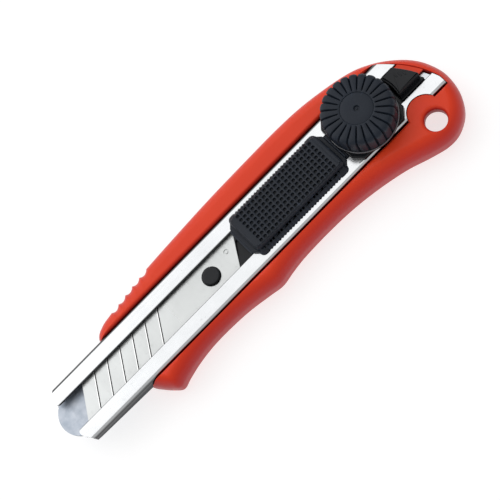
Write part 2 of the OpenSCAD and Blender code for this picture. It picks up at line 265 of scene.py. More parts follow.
def baked(obj):
    """Applies an object's modifiers."""
    bpy.context.view_layer.update()
    graph = bpy.context.evaluated_depsgraph_get()
    mesh = bpy.data.meshes.new_from_object(obj.evaluated_get(graph))
    obj.modifiers.clear()
    old = obj.data
    obj.data = mesh
    bpy.data.meshes.remove(old)
    return obj


def carve(obj, tool, how="DIFFERENCE"):
    """A boolean with a tool that is used up."""
    m = obj.modifiers.new("carve", "BOOLEAN")
    m.operation, m.object, m.solver = how, tool, "EXACT"
    baked(obj)
    mesh = tool.data
    bpy.data.objects.remove(tool)
    bpy.data.meshes.remove(mesh)
    return obj


def join(obj, others):
    """Adds other pieces to a piece as loose shells."""
    bm = bmesh.new()
    bm.from_mesh(obj.data)
    for other in others:
        bm.from_mesh(other.data)
        mesh = other.data
        bpy.data.objects.remove(other)
        bpy.data.meshes.remove(mesh)
    bm.to_mesh(obj.data)
    bm.free()
    return obj


def soften(obj, width, angle, segments):
    """Rounds every edge sharper than an angle."""
    m = obj.modifiers.new("edges", "BEVEL")
    m.width, m.segments, m.limit_method = width * MM, segments, "ANGLE"
    m.angle_limit = math.radians(angle)
    m.use_clamp_overlap = True
    m.miter_outer = "MITER_ARC"
    return baked(obj)


def shade(obj, angle):
    """Smooth shading, with the edges sharper than an angle kept crisp."""
    mesh = obj.data
    mesh.polygons.foreach_set("use_smooth", [True] * len(mesh.polygons))
    mesh.set_sharp_from_angle(angle=math.radians(angle))
    m = obj.modifiers.new("normals", "WEIGHTED_NORMAL")
    m.keep_sharp = True
    m.weight = 60
    return obj


def fitted(obj, body, material, nodes, angle=34):
    """Gives a piece its shading, body and material, and hides the CAD nodes that it stands for."""
    shade(obj, angle)
    obj.data.materials.clear()
    obj.data.materials.append(material)
    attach(obj, body)
    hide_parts(*nodes)
    return obj


# ---------------------------------------------------------------- materials
class Nodes:
    """A short way to write a material's nodes."""

    def __init__(self, name):
        self.mat = bpy.data.materials.new(name)
        self.mat.use_nodes = True
        self.tree = self.mat.node_tree
        self.shader = self.tree.nodes["Principled BSDF"]
        self.coords = self.tree.nodes.new("ShaderNodeTexCoord").outputs["Object"]

    def set(self, **values):
        for key, value in values.items():
            self.shader.inputs[key.replace("_", " ")].default_value = value

    def link(self, a, b):
        self.tree.links.new(a, b)

    def scaled(self, x, y, z):
        n = self.tree.nodes.new("ShaderNodeMapping")
        n.inputs["Scale"].default_value = (x, y, z)
        self.link(self.coords, n.inputs["Vector"])
        return n.outputs["Vector"]

    def noise(self, scale, detail=4, rough=0.55, vector=None):
        n = self.tree.nodes.new("ShaderNodeTexNoise")
        n.inputs["Scale"].default_value = scale
        n.inputs["Detail"].default_value = detail
        n.inputs["Roughness"].default_value = rough
        self.link(vector or self.coords, n.inputs["Vector"])
        return n.outputs["Fac"]

    def ramp(self, source, *stops):
        n = self.tree.nodes.new("ShaderNodeValToRGB")
        cr = n.color_ramp
        while len(cr.elements) < len(stops):
            cr.elements.new(0.5)
        for e, (pos, col) in zip(cr.elements, stops):
            e.position = pos
            e.color = (*col, 1) if isinstance(col, tuple) else (col, col, col, 1)
        self.link(source, n.inputs["Fac"])
        return n.outputs["Color"]

    def mix(self, fac, a, b, how="MIX"):
        n = self.tree.nodes.new("ShaderNodeMix")
        n.data_type, n.blend_type = "RGBA", how
        for value, socket in ((fac, n.inputs[0]), (a, n.inputs[6]), (b, n.inputs[7])):
            if isinstance(value, (int, float)):
                socket.default_value = value
            elif isinstance(value, tuple):
                socket.default_value = (*value, 1)
            else:
                self.link(value, socket)
        return n.outputs[2]

    def wear(self, low, high):
        """Where edges stick out, from 0 to 1."""
        n = self.tree.nodes.new("ShaderNodeNewGeometry")
        return self.ramp(n.outputs["Pointiness"], (low, 0.0), (high, 1.0))

    def maths(self, how, a, b=0.0, c=0.0):
        n = self.tree.nodes.new("ShaderNodeMath")
        n.operation = how
        for value, socket in zip((a, b, c), n.inputs):
            if isinstance(value, (int, float)):
                socket.default_value = value
            else:
                self.link(value, socket)
        return n.outputs[0]

    def parts(self, vector):
        n = self.tree.nodes.new("ShaderNodeSeparateXYZ")
        self.link(vector, n.inputs[0])
        return n.outputs

    def facing_up(self, lean=0.0):
        """1 on level faces and 0 on upright ones; a lean favours those that face -Y."""
        n = self.tree.nodes.new("ShaderNodeNewGeometry")
        _, y, z = self.parts(n.outputs["Normal"])
        return self.maths("ABSOLUTE", self.maths("MULTIPLY_ADD", y, -lean, z))

    def score_lines(self):
        """Two masks along the blade's snap lines: the cut, painted dark as shade, and a strip
        beside it for a painted highlight.
        """
        x, y, _ = self.parts(self.coords)
        half_cut, half_highlight, apart = 0.2, 0.15, 0.34
        along = self.maths("MULTIPLY_ADD", y, -SLANT, x)
        u = self.maths("MULTIPLY_ADD", along, 1 / (SNAP_PITCH * MM), -BLADE_TIP / SNAP_PITCH)
        off = self.maths("SUBTRACT", u, self.maths("ROUND", u))
        cut = self.maths("LESS_THAN", self.maths("ABSOLUTE", off), half_cut / SNAP_PITCH)
        beside = self.maths("ABSOLUTE", self.maths("ADD", off, apart / SNAP_PITCH))
        painted_highlight = self.maths("LESS_THAN", beside, half_highlight / SNAP_PITCH)
        from_middle = self.maths("ABSOLUTE", self.maths("SUBTRACT", u, (SNAP_LINES + 1) / 2))
        counted = self.maths("LESS_THAN", from_middle, SNAP_LINES / 2)
        return self.maths("MULTIPLY", cut, counted), self.maths("MULTIPLY", painted_highlight, counted)

    def bump(self, *layers):
        """Stacked bumps: pairs of a height and its depth in millimetres."""
        normal = None
        for height, depth in layers:
            n = self.tree.nodes.new("ShaderNodeBump")
            n.inputs["Strength"].default_value = 1.0
            n.inputs["Distance"].default_value = depth * MM
            self.link(height, n.inputs["Height"])
            if normal:
                self.link(normal, n.inputs["Normal"])
            normal = n.outputs["Normal"]
        self.link(normal, self.shader.inputs["Normal"])


def red_plastic():
    m = Nodes("red_grip")
    cloud = m.noise(28, 3)
    fine = m.noise(900, 3, 0.6)
    flow = m.noise(1.0, 4, 0.6, m.scaled(60, 260, 260))
    # Painted shade: level faces get a lit orange-red and upright faces a shaded crimson copy of the
    # same red, mixed by how much each faces up
    top = m.ramp(cloud, (0.25, (0.77, 0.042, 0.010)), (0.75, (0.84, 0.056, 0.013)))
    side = m.ramp(cloud, (0.25, (0.42, 0.009, 0.013)), (0.75, (0.48, 0.012, 0.016)))
    base = m.mix(m.maths("POWER", m.facing_up(), 1.5), side, top)
    edge = m.mix(m.wear(0.52, 0.60), base, (0.86, 0.050, 0.022))
    m.link(edge, m.shader.inputs["Base Color"])
    m.link(m.ramp(flow, (0.3, 0.30), (0.75, 0.42)), m.shader.inputs["Roughness"])
    m.set(IOR=1.33)
    m.bump((fine, 0.006), (cloud, 0.03))
    return m.mat


def black_plastic(name, roughness=0.42, tint=(0.010, 0.0135, 0.021)):
    m = Nodes(name)
    grain = m.noise(2600, 3, 0.6)
    cloud = m.noise(90, 4)
    light = tuple(c * 1.55 for c in tint)
    base = m.ramp(cloud, (0.3, tint), (0.8, light))
    edge = m.mix(m.wear(0.53, 0.64), base, tuple(c * 2.6 for c in tint))
    m.link(edge, m.shader.inputs["Base Color"])
    m.link(m.ramp(cloud, (0.3, roughness - 0.05), (0.75, roughness + 0.08)),
           m.shader.inputs["Roughness"])
    m.set(IOR=1.34)
    m.bump((grain, 0.012))
    return m.mat


def steel(name, tone, roughness, along, grain_depth, marks=0.0, side=1.0, scores=False):
    """Metal with a grain along one axis and a cloudy tone.

    A side below 1 paints shade on faces turned sideways and in the recess below the lips, which it
    also makes rougher; scores paints the snap lines as dark lines of painted shade, each with a
    painted highlight beside it.
    """
    m = Nodes(name)
    stretch = {"x": (18, 1500, 1500), "y": (1500, 18, 1500), "z": (900, 900, 900)}[along]
    grain = m.noise(1.0, 5, 0.65, m.scaled(*stretch))
    cloud = m.noise(40, 5, 0.6)
    spots = m.noise(420, 4, 0.7)
    dark = tuple(c * (0.86 - marks) for c in tone)
    base = m.ramp(cloud, (0.25, dark), (0.62, tone))
    stains_and_painted_light = m.mix(m.ramp(spots, (0.60, 0.0), (0.72, 0.25 + marks)), base,
                    tuple(c * 0.62 for c in tone))
    rough = m.ramp(grain, (0.25, roughness * 0.75), (0.8, roughness * 1.35))
    if side < 1:
        # Painted shade: faces turned away from level, least those leaning towards -Y, are darkened
        # down to side times their tone
        level = m.maths("POWER", m.facing_up(0.4), 12.0)
        stains_and_painted_light = m.mix(1.0, stains_and_painted_light, m.ramp(level, (0.0, side), (1.0, 1.0)), "MULTIPLY")
        # 0 at 3 mm below the lips' top and deeper, 1 at 1 mm below it and higher
        shallow = m.maths("MULTIPLY_ADD", m.parts(m.coords)[2], 1 / (2 * MM), 1.5 - LIP_TOP / 2)
        shallow = m.ramp(shallow, (0.0, 0.0), (1.0, 1.0))
        # Painted shade in the recess: from 1 mm below the lips down to 3 mm the colour sinks to a
        # mottled bluish grey
        mottled_recess_shade = m.ramp(m.noise(330, 4, 0.6), (0.32, (0.47, 0.52, 0.59)),
                         (0.68, (0.66, 0.69, 0.75)))
        inside = m.mix(1.0, stains_and_painted_light, mottled_recess_shade, "MULTIPLY")
        stains_and_painted_light = m.mix(shallow, inside, stains_and_painted_light)
        rough = m.maths("ADD", rough, m.maths("MULTIPLY_ADD", shallow, -0.28, 0.28))
    if scores:
        # Painted highlight beside each snap line, and painted shade in the cut itself
        cut, painted_highlight = m.score_lines()
        stains_and_painted_light = m.mix(painted_highlight, stains_and_painted_light, (0.97, 0.97, 0.97))
        stains_and_painted_light = m.mix(cut, stains_and_painted_light, tuple(c * 0.1 for c in tone))
    m.link(stains_and_painted_light, m.shader.inputs["Base Color"])
    m.link(rough, m.shader.inputs["Roughness"])
    m.set(Metallic=1.0)
    m.bump((grain, grain_depth), (cloud, 0.02))
    return m.mat


RED = red_plastic()
BLACK = black_plastic("black_moulding")
BLACK_KNOB = black_plastic("black_knob", 0.5, (0.009, 0.013, 0.021))
BLACK_GLOSS = black_plastic("black_shoe", 0.25, (0.006, 0.007, 0.009))
# The channel's side of 0.08 paints shade on its sideways faces and in its recess
CHANNEL = steel("polished_channel", (0.80, 0.815, 0.83), 0.17, "x", 0.0012, side=0.08)
# scores paints the blade's snap lines dark as shade, each with a painted highlight beside it
BLADE = steel("satin_blade", (0.60, 0.615, 0.612), 0.32, "y", 0.003, 0.03, scores=True)
BRIGHT = steel("bright_washer", (0.16, 0.16, 0.17), 0.3, "z", 0.001)
ZINC = steel("zinc_fastener", (0.70, 0.72, 0.74), 0.30, "z", 0.004, 0.04)
BRASS = steel("brass_insert", (0.83, 0.62, 0.27), 0.24, "z", 0.003, 0.02)


# ---------------------------------------------------------------- the grip
GRIP_PTS = [
    (-52.9, 9.5), (-52.4, 13.2), (-49, 15.2), (-44.4, 16.1), (-35, 17.5), (-26.8, 18.3),
    (-15, 19.0), (0, 19.7), (15, 20.0), (30, 20.1), (41, 19.6), (51, 18.1), (60, 15.9),
    (66.3, 12.8), (71, 9.2), (75.1, 4.7), (77.8, -0.4), (79.1, -7), (77.7, -14.2),
    (74.1, -19.5), (69, -22.4), (64, -22.8), (58, -21.2), (50, -18.4), (40, -16.2),
    (30, -14.9), (20, -14.5), (10, -14.7), (4, -15.4), (-1, -16.2), (-6, -15.4),
    (-13, -14.3), (-20, -13.8), (-28, -13.8), (-35, -14.6), (-40.6, -15.9), (-44.2, -16.9),
    (-46.7, -15), (-49, -12.3), (-50.7, -9.8), (-51.6, -6),
]
NOTCH_SPANS = (3, 4)
NOTCH_X, NOTCH_PITCH, NOTCH_COUNT, NOTCH_D = -44.1, 3.4, 5, 0.85


def notch_at(x):
    """How deep the finger notches are at x."""
    u = (x - NOTCH_X) / NOTCH_PITCH
    return NOTCH_D * abs(math.sin(math.pi * u)) ** 0.8 if 0 < u < NOTCH_COUNT else 0.0


def drawn_in(p, by):
    """A point moved in towards the line that the grip's section shrinks to."""
    front, bend, rear, drop = -42, 40, 62, 4
    x = min(max(p[0], front), rear)
    y = -drop * (x - bend) / (rear - bend) if p[0] > bend else 0
    v = Vector((x - p[0], y - p[1])).normalized() * by
    return p[0] + v.x, p[1] + v.y


def grip_section():
    """Pairs of how far in and how high: a flat back, bulging sides and a flat top."""
    back_in, back_h, top_in, bulge_z = 3.2, 4.4, 4.6, 6.4
    low = [(back_in * (1 - math.sin(a)), back_h * (1 - math.cos(a))) for a in quarter(8)[:-1]]
    high = [(top_in * (1 - math.cos(a)), bulge_z + (LIP_TOP - bulge_z) * math.sin(a))
            for a in quarter(12)]
    return low + high


def rear_angle(y, by=0.0):
    """Where the channel's round rear end, moved out by a distance, meets y; in degrees."""
    return math.degrees(math.asin((y - REAR[1]) / (REAR_R + by)))


def rear_line(w, by=0.0):
    """The channel's rear end from y = -w to y = w, moved out by a distance."""
    straight = math.degrees(math.acos((REAR_X + by - REAR[0]) / (REAR_R + by)))
    return [(REAR_X + by, -w)] + arc(*REAR, REAR_R + by, straight, rear_angle(w, by), 40)


def rear_strip(y0, y1, inner, outer):
    """A strip along the channel's round end, between two distances out from it."""
    near = arc(*REAR, REAR_R + inner, rear_angle(y0, inner), rear_angle(y1, inner), 20)
    far = arc(*REAR, REAR_R + outer, rear_angle(y1, outer), rear_angle(y0, outer), 20)
    return near + far


def pocket_cutter():
    """The channel's pocket, with a groove along its top and a rounded edge."""
    close, gap, edge_r, front = 0.04, 0.3, 1.0, -70
    levels = [(close, FLOOR_Z), (close, LIP_TOP - 3.2), (gap, LIP_TOP - 2.6)]
    levels += [(gap + edge_r * (1 - math.cos(a)), LIP_TOP - edge_r + edge_r * math.sin(a))
               for a in quarter(8)]
    levels.append((gap + edge_r, LIP_TOP + 2))
    rings = []
    for off, z in levels:
        w = CHANNEL_W + off
        plan = [(front, -w)] + rear_line(w, off) + [(front, w)]
        rings.append([(x, y, z) for x, y in plan])
    return loft("pocket", rings)


def grip():
    outline = smooth_curve(GRIP_PTS, lambda i: 48 if i in NOTCH_SPANS else 12)
    outline = [(p.x, p.y - (notch_at(p.x) if p.y > 0 else 0)) for p in outline]
    rings = [[(*drawn_in(p, by), z) for p in outline] for by, z in grip_section()]
    body = loft("grip_body", rings)
    carve(body, pocket_cutter())
    # The lobe that stands in the lower lip's cut-out, with a rounded top edge
    z1 = LIP_TOP + 0.02
    profile = [(0, LIP_LOW), (LOBE_R, LIP_LOW)] + turned_edge(LOBE_R, z1, 0.5) + [(0, z1)]
    carve(body, lathe("lobe", profile, *LOBE), "UNION")
    # Lanyard hole: a dish that leans on the back, and a rounded front edge
    dish, lean, dish_low, dish_h, edge_r = 3.2, 1.7, -0.5, 9.6, 1.2
    hole = []
    for k in range(11):
        t = k / 10
        hole.append((HOLE_R + dish * (1 - t) ** 1.3, lean * (1 - t), dish_low + dish_h * t))
    for a in quarter(6):
        hole.append((HOLE_R + edge_r * (1 - math.cos(a)), 0.0,
                     LIP_TOP - edge_r + edge_r * math.sin(a)))
    hole.append((HOLE_R + edge_r, 0.0, LIP_TOP + 2))
    rings = [[(x, y, z) for x, y in arc(HOLE[0], HOLE[1] + shift, r, 0, 356.25, 95)]
             for r, shift, z in hole]
    carve(body, loft("hole", rings))
    # The rim reaches over the channel's end as far as the end block
    shelf = rear_strip(-2.2, 5.1, -2.1, 1.4)
    join(body, [slab("shelf", shelf, 10.9, LIP_TOP - 0.65, top=0.15)])
    body.name = "grip_body"
    return fitted(body, "handle", RED, ["handle_grip"], 40)


# ---------------------------------------------------------------- the channel
def channel_section(x, low):
    """The C of the channel at one place, from the right lip round to the left one."""
    r_out, r_in, r_slot, n = 1.25, 0.4, 0.25, 8
    right = arc(SLOT_W + r_slot, LIP_TOP - r_slot, r_slot, 180, 90, 4)
    right += arc(CHANNEL_W - r_out, LIP_TOP - r_out, r_out, 90, 0, n)
    right += arc(CHANNEL_W - r_out, low + r_out, r_out, 0, -90, n)
    inner_y = CHANNEL_W - SHEET - r_in
    inside = arc(inner_y, low + SHEET + r_in, r_in, -90, 0, n)
    inside += arc(inner_y, LIP_LOW - r_in, r_in, 0, 90, n) + [(SLOT_W, LIP_LOW)]
    loop = right + [(-y, z) for y, z in reversed(right)]
    loop += [(-y, z) for y, z in reversed(inside)] + inside
    return [(x, y, z) for y, z in loop]


def channel():
    # The floor sinks from the nose's height to its own, over a slope
    slope_x, slope_l, steps = -73.5, 23.5, 12
    stations = [(-85, NOSE_Z), (slope_x, NOSE_Z)]
    for k in range(1, steps + 1):
        t = k / steps
        stations.append((slope_x + slope_l * k / steps, NOSE_Z + (FLOOR_Z - NOSE_Z) * t ** 0.9))
    stations += [(x, FLOOR_Z) for x in (-30, 0, 30, 54, 66, 85)]
    body = loft("channel_sheet", [channel_section(x, z) for x, z in stations])
    shoulder_x = -72.9                 # where the nose starts to narrow
    side = [(shoulder_x, -CHANNEL_W), (-74.7, -8.1), (-75.7, -6.1)]
    nose = arc(-71.35, 0, 7.4, 124, 236, 28)
    plan = rear_line(CHANNEL_W) + [(x, -y) for x, y in side] + nose + side[::-1]
    carve(body, slab("plan", plan, -5, ABOVE, top=0), "INTERSECT")
    # The lips stop short of the tip: a cut corner outside, a round one at the slot
    lip_x, corner_y = -75.25, 7.4
    lip = mirrored([(-110, -30), (-60, -30), (-60, -16), (shoulder_x, -CHANNEL_W),
                    (lip_x, -corner_y), (lip_x, -SLOT_W), (-70, -SLOT_W)])
    radii = [0, 0, 0, 0, 0.8, 1.1, 0]
    carve(body, slab("lip_end", rounded(lip, radii + radii[::-1]), NOSE_Z + 2.4, ABOVE, top=0))
    # Below them the nose is cut a little further back at its corners
    for s in (-1, 1):
        corner = [(-74.9, 7.0 * s), (-71.9, (CHANNEL_W + 0.1) * s), (-80, 14 * s)]
        carve(body, slab("corner", corner, -1, NOSE_Z + SHEET, top=0))
    carve(body, post("lobe_gap", LOBE_R + 0.04, LIP_LOW - 0.02, ABOVE, *LOBE))
    soften(body, 0.2, 50, 3)
    # A tab shows between the end block and the rim
    tab = rear_strip(-5.6, -1.5, -2.1, -0.05)
    # The tab lies low enough for the channel steel's painted recess shade to grey it
    join(body, [slab("tab", tab, LIP_TOP - 2.6, LIP_TOP - 1.8, top=0.1)])
    body.name = "channel_sheet"
    return fitted(body, "handle", CHANNEL, ["blade_channel"], 40)


# ---------------------------------------------------------------- the blade
def blade():
    z0, z1 = blade_lo.z, blade_hi.z
    mid, t = (z0 + z1) / 2, (z1 - z0) / 2
    tail, groove, depth = -3.5, 0.24, 0.2
    # Places along the blade, how deep each lies, and rows across it with half their thickness
    us, tops = [BLADE_TIP], [0.0]
    for i in range(1, SNAP_LINES + 1):
        u = BLADE_TIP + i * SNAP_PITCH
        us += [u - groove, u - groove * 0.3, u + groove * 0.3, u + groove * 0.7]
        tops += [0.0, depth, depth, 0.0]
    us.append(tail)
    tops.append(0.0)
    rows = [(-9.0, 0.04), (-8.96, 0.06), (-7.2, t), (-3, t), (3, t), (8.9, t), (9.0, t - 0.1)]
    s = Shape()
    top, bottom = [], []
    for y, half in rows:
        cut = half / t
        top.append(s.ring([(u + SLANT * y, y, mid + half - d * cut) for u, d in zip(us, tops)]))
        bottom.append(s.ring([(u + SLANT * y, y, mid - half) for u in us]))
    for a, b in zip(top, top[1:]):
        s.bridge(a, b, closed=False)
    for a, b in zip(bottom, bottom[1:]):
        s.bridge(b, a, closed=False)
    s.bridge(top[0], bottom[0], closed=False)
    s.bridge(bottom[-1], top[-1], closed=False)
    for k in (0, len(us) - 1):
        s.bridge([r[k] for r in top], [r[k] for r in bottom], closed=False)
    body = s.piece("blade_strip")
    carve(body, post("pin_hole", 3.15, 0, ABOVE, PIN_X, 0))
    # A small plain round punch mark
    r_in, r_out, low = 0.5, 0.85, z1 - 0.25
    mark = [(r_in, low), (r_in, z1 + 1), (r_out, z1 + 1), (r_out, low)]
    carve(body, lathe("punch", mark, -5.9, 2.2, 32))
    soften(body, 0.035, 60, 1)
    body.name = "blade_strip"
    return fitted(body, "slider", BLADE, ["blade"], 20)


# ---------------------------------------------------------------- the carrier
def carrier():
    z0, z1, pin_top, pin_r, tongue_w = carrier_lo.z, UNDER_LIP, carrier_hi.z, 2.85, 5.5
    under = z0 + 0.62                  # the tongue lies under the blade
    tongue = arc(-15.3, 0, tongue_w, 90, 270, 24) + [(5.6, -tongue_w), (5.6, tongue_w)]
    body = slab("carrier_block", tongue, z0, under, top=0.1)
    w, face, back = RUN_W, -3.35, 6.0
    shoulder = [(face - SLANT * w, -w), (back, -w), (back, w), (face + SLANT * w, w)]
    carve(body, slab("shoulder", rounded(shoulder, 0.3, 3), z0, z1, top=0.15), "UNION")
    # A sunk panel in the shoulder
    panel = [(-5.4, -3.2), (0.2, -3.2), (0.2, 2.4), (-1.6, 2.4)]
    carve(body, slab("panel", rounded(panel, 0.35, 3), z1 - 0.9, z1 + 1, top=0))
    profile = [(0, under - 0.2), (pin_r, under - 0.2)] + turned_edge(pin_r, pin_top, 0.35)
    profile += [(1.6, pin_top), (0, pin_top)]
    carve(body, lathe("pin", profile, PIN_X, 0, 64), "UNION")
    tail = [(5.2, -7), (18, -7), (18, 7), (5.2, 7)]
    carve(body, slab("tail", tail, z0, z0 + 0.9, top=0.1), "UNION")
    body.name = "carrier_block"
    return fitted(body, "slider", BLACK_GLOSS, ["blade_carrier"])


# ---------------------------------------------------------------- the slide
def flange_outline(x0, x1):
    """A round-cornered box whose long sides carry fine grooves, seen from above."""
    y, r, pitch, count, depth, per, n = 8.5, 1.6, 1.15, 27, 0.28, 8, 8

    def side(sign):
        pts = [(x0 + r, sign * y)]
        for i in range(count * per + 1):
            u = i / per
            groove = max(0.0, math.sin(math.pi * (u % 1.0))) ** 2 * depth
            pts.append((x0 + 2.6 + u * pitch, sign * (y - groove)))
        return pts + [(x1 - r, sign * y)]

    out = side(-1) + arc(x1 - r, -y + r, r, -90, 0, n)[1:]
    out += arc(x1 - r, y - r, r, 0, 90, n)[:-1] + list(reversed(side(1)))
    out += arc(x0 + r, y - r, r, 90, 180, n)[1:] + arc(x0 + r, -y + r, r, 180, 270, n)[:-1]
    return out


def slide_base():
    x0, x1, high = pad_lo.x, pad_hi.x, pad_lo.z
    # Flange with leaning sides and fine grip ribs down them
    flange_low = LIP_TOP + 0.12
    plan = flange_outline(x0, x1)
    side = ((0.15, flange_low), (0.0, flange_low + 0.15), (0.75, high - 0.4), (0.9, high - 0.2),
            (1.15, high - 0.1))
    body = loft("slide_rail", [[(x, y, z) for x, y in inset(plan, by)] for by, z in side])
    neck = rounded_box(x0 + 0.3, x1 - 0.3, 6.5, 1.5)
    rail_w, rail_x0, rail_x1 = SLOT_W - 0.15, x0 - 2.0, 61
    rail = [(rail_x0, -rail_w), (rail_x1, -rail_w), (rail_x1, rail_w), (rail_x0, rail_w)]
    parts = [slab("neck", neck, high - 0.6, high + 0.05, top=0),
             slab("rail", rail, LIP_LOW + 0.06, LIP_TOP + 0.1, top=0.1)]
    # Shoulders that narrow from the flange to the rail, in front and behind
    wide, narrow, shoulder_z = 7.6, SLOT_W + 0.1, LIP_TOP + 0.14
    for end, out in ((x0, -1), (x1, 1)):
        near, far = end - 0.8 * out, end + 1.3 * out
        shoulder = rounded([(near, -wide), (far, -narrow), (far, narrow), (near, wide)], 0.3, 3)
        parts.append(slab("shoulder", shoulder, shoulder_z, shoulder_z + 0.9, top=0.25))
    # Cross ribs on the rail behind the pad
    for x in (38.3, 39.35):
        rib = rounded_box(x, x + 0.55, 4.7, 0.2, 3)
        parts.append(slab("rib", rib, LIP_TOP - 0.3, LIP_TOP + 0.9, top=0.15))
    runner = rounded_box(6.1, 40.1, RUN_W, 0.4)
    parts.append(slab("runner", runner, base_lo.z, UNDER_LIP, top=0.35, bottom=0.2))
    join(body, parts)
    body.name = "slide_rail"
    return fitted(body, "slider", BLACK, ["slide_base"])


def thumb_pad():
    """A pad with a lattice of pits, each in a square cell with fine steps round its edge."""
    cols, rows, fine = 20, 8, 4
    pitch_x, pitch_y = 1.613, 1.53
    x_mid = (pad_lo.x + pad_hi.x) / 2
    bar_h = 0.14
    z_top, z_low = pad_hi.z - bar_h, pad_lo.z
    half_x, half_y = cols * pitch_x / 2, rows * pitch_y / 2
    rib, pit_r, pit_d, squareness = 0.13, 0.50, 0.82, 3.2
    s = Shape()
    grid = {}

    def corner(i, j):
        """A point of the lattice between the pits, on a grid four times finer than they are."""
        if (i, j) not in grid:
            z = z_top + (rib if i % fine == 0 else 0.0)
            grid[i, j] = len(s.v)
            s.v.append((x_mid - half_x + i * pitch_x / fine, -half_y + j * pitch_y / fine, z))
        return grid[i, j]

    def border(i0, j0, ni, nj):
        """Grid places round a rectangle, counter-clockwise."""
        out = [(i0 + i, j0) for i in range(ni)] + [(i0 + ni, j0 + j) for j in range(nj)]
        out += [(i0 + ni - i, j0 + nj) for i in range(ni)]
        return out + [(i0, j0 + nj - j) for j in range(nj)]

    def pit_ring(cx, cy, r, z):
        """A ring between a circle and a square, its points in step with a cell's border."""
        out = []
        for k in range(4 * fine):
            a = math.radians(-135 + 360 * k / (4 * fine))
            ca, sa = math.cos(a), math.sin(a)
            bulge = (abs(ca) ** squareness + abs(sa) ** squareness) ** (-1 / squareness)
            out.append((cx + r * bulge * ca, cy + r * bulge * sa, z))
        return s.ring(out)

    for c in range(cols):
        for r in range(rows):
            previous = [corner(*place) for place in border(c * fine, r * fine, fine, fine)]
            cx = x_mid - half_x + (c + 0.5) * pitch_x
            cy = -half_y + (r + 0.5) * pitch_y
            for scale, drop in ((1.12, 0.0), (1.0, 0.12), (0.86, pit_d), (0.45, pit_d + 0.08)):
                now = pit_ring(cx, cy, pit_r * scale, z_top - drop)
                s.bridge(previous, now)
                previous = now
            s.cap(previous)
    # The rounded body around the lattice
    ni, nj = cols * fine, rows * fine
    rim = border(0, 0, ni, nj)
    full_x, full_y, corner_r = (pad_hi.x - pad_lo.x) / 2, 6.8, 1.6

    def outer(b, grow):
        """Where a border point lands on the pad's outline, drawn in by grow."""
        u = (b[0] / ni * 2 - 1) * half_x
        v = (b[1] / nj * 2 - 1) * half_y
        hx, hy, rr = full_x - grow, full_y - grow, max(corner_r - grow, 0.3)
        if b[1] in (0, nj) and b[0] not in (0, ni):
            x, y = u * (hx / half_x), math.copysign(hy, v)
        else:
            x, y = math.copysign(hx, u), v * (hy / half_y)
        cx, cy = hx - rr, hy - rr
        if abs(x) > cx and abs(y) > cy:
            d = Vector((abs(x) - cx, abs(y) - cy))
            d = d.normalized() * rr
            x, y = math.copysign(cx + d.x, x), math.copysign(cy + d.y, y)
        return x, y

    edge_r, flute_d, steps = 0.7, 0.30, 5
    previous = [corner(*place) for place in rim]
    for k, a in enumerate(quarter(steps)):
        grow, z = edge_r * (1 - math.sin(a)), z_top - edge_r * (1 - math.cos(a)) - 0.02
        pts = []
        for b in rim:
            x, y = outer(b, grow)
            on_side = b[1] in (0, nj)
            flute = abs(math.sin(math.pi * b[0] / fine)) if on_side else 0.0
            y -= math.copysign(flute_d * flute * min(1.0, a + 0.3), y)
            raised = (rib if on_side and b[0] % fine == 0 else 0.0) * (1 - k / steps)
            pts.append((x_mid + x, y, z + raised))
        now = s.ring(pts)
        s.bridge(previous, now)
        previous = now
    for grow, z in ((0.05, z_low + 0.15), (0.25, z_low)):
        now = s.ring([(x_mid + x, y, z) for x, y in (outer(b, grow) for b in rim)])
        s.bridge(previous, now)
        previous = now
    s.cap(previous, True)
    body = s.piece("waffle_pad")
    # Smooth bars across the ends
    bars = [slab("bar", rounded_box(x, x + w, 5.8, 0.3, 4), z_top - 0.5, z_top + bar_h, top=0.12)
            for x, w in ((pad_lo.x + 0.75, 1.5), (pad_hi.x - 2.45, 0.7), (pad_hi.x - 1.45, 0.7))]
    join(body, bars)
    body.name = "waffle_pad"
    return fitted(body, "slider", BLACK, ["thumb_pad"], 30)


# ---------------------------------------------------------------- the lock
def shoe():
    half_l, half_w, cut_l, cut_w = 11.0, 9.9, 2.7, 3.1
    in_l, in_w = half_l - cut_l, half_w - cut_w
    plan = mirrored([(-half_l, -in_w), (-in_l, -half_w), (in_l, -half_w), (half_l, -in_w)])
    plan = [(KNOB_X + x, y) for x, y in rounded(plan, 0.5, 4)]
    body = slab("lock_flange", plan, shoe_lo.z, shoe_hi.z - 0.02, top=0.45, bottom=0.12)
    carve(body, post("bolt_hole", 2.1, 0, ABOVE, KNOB_X, 0, 48))
    return fitted(body, "slider", BLACK_GLOSS, ["lock_shoe"])


def washer():
    z0, z1 = ring_lo.z, ring_hi.z
    r0, r1, e = 6.2, KNOB_R + 0.1, 0.22
    profile = [(r0, z0), (r1 - e, z0), (r1, z0 + e), (r1, z1 - e), (r1 - e, z1), (r0, z1)]
    body = lathe("bright_ring", profile, KNOB_X, 0, 160)
    soften(body, 0.06, 20, 2)
    return fitted(body, "slider", BRIGHT, ["thrust_washer"])


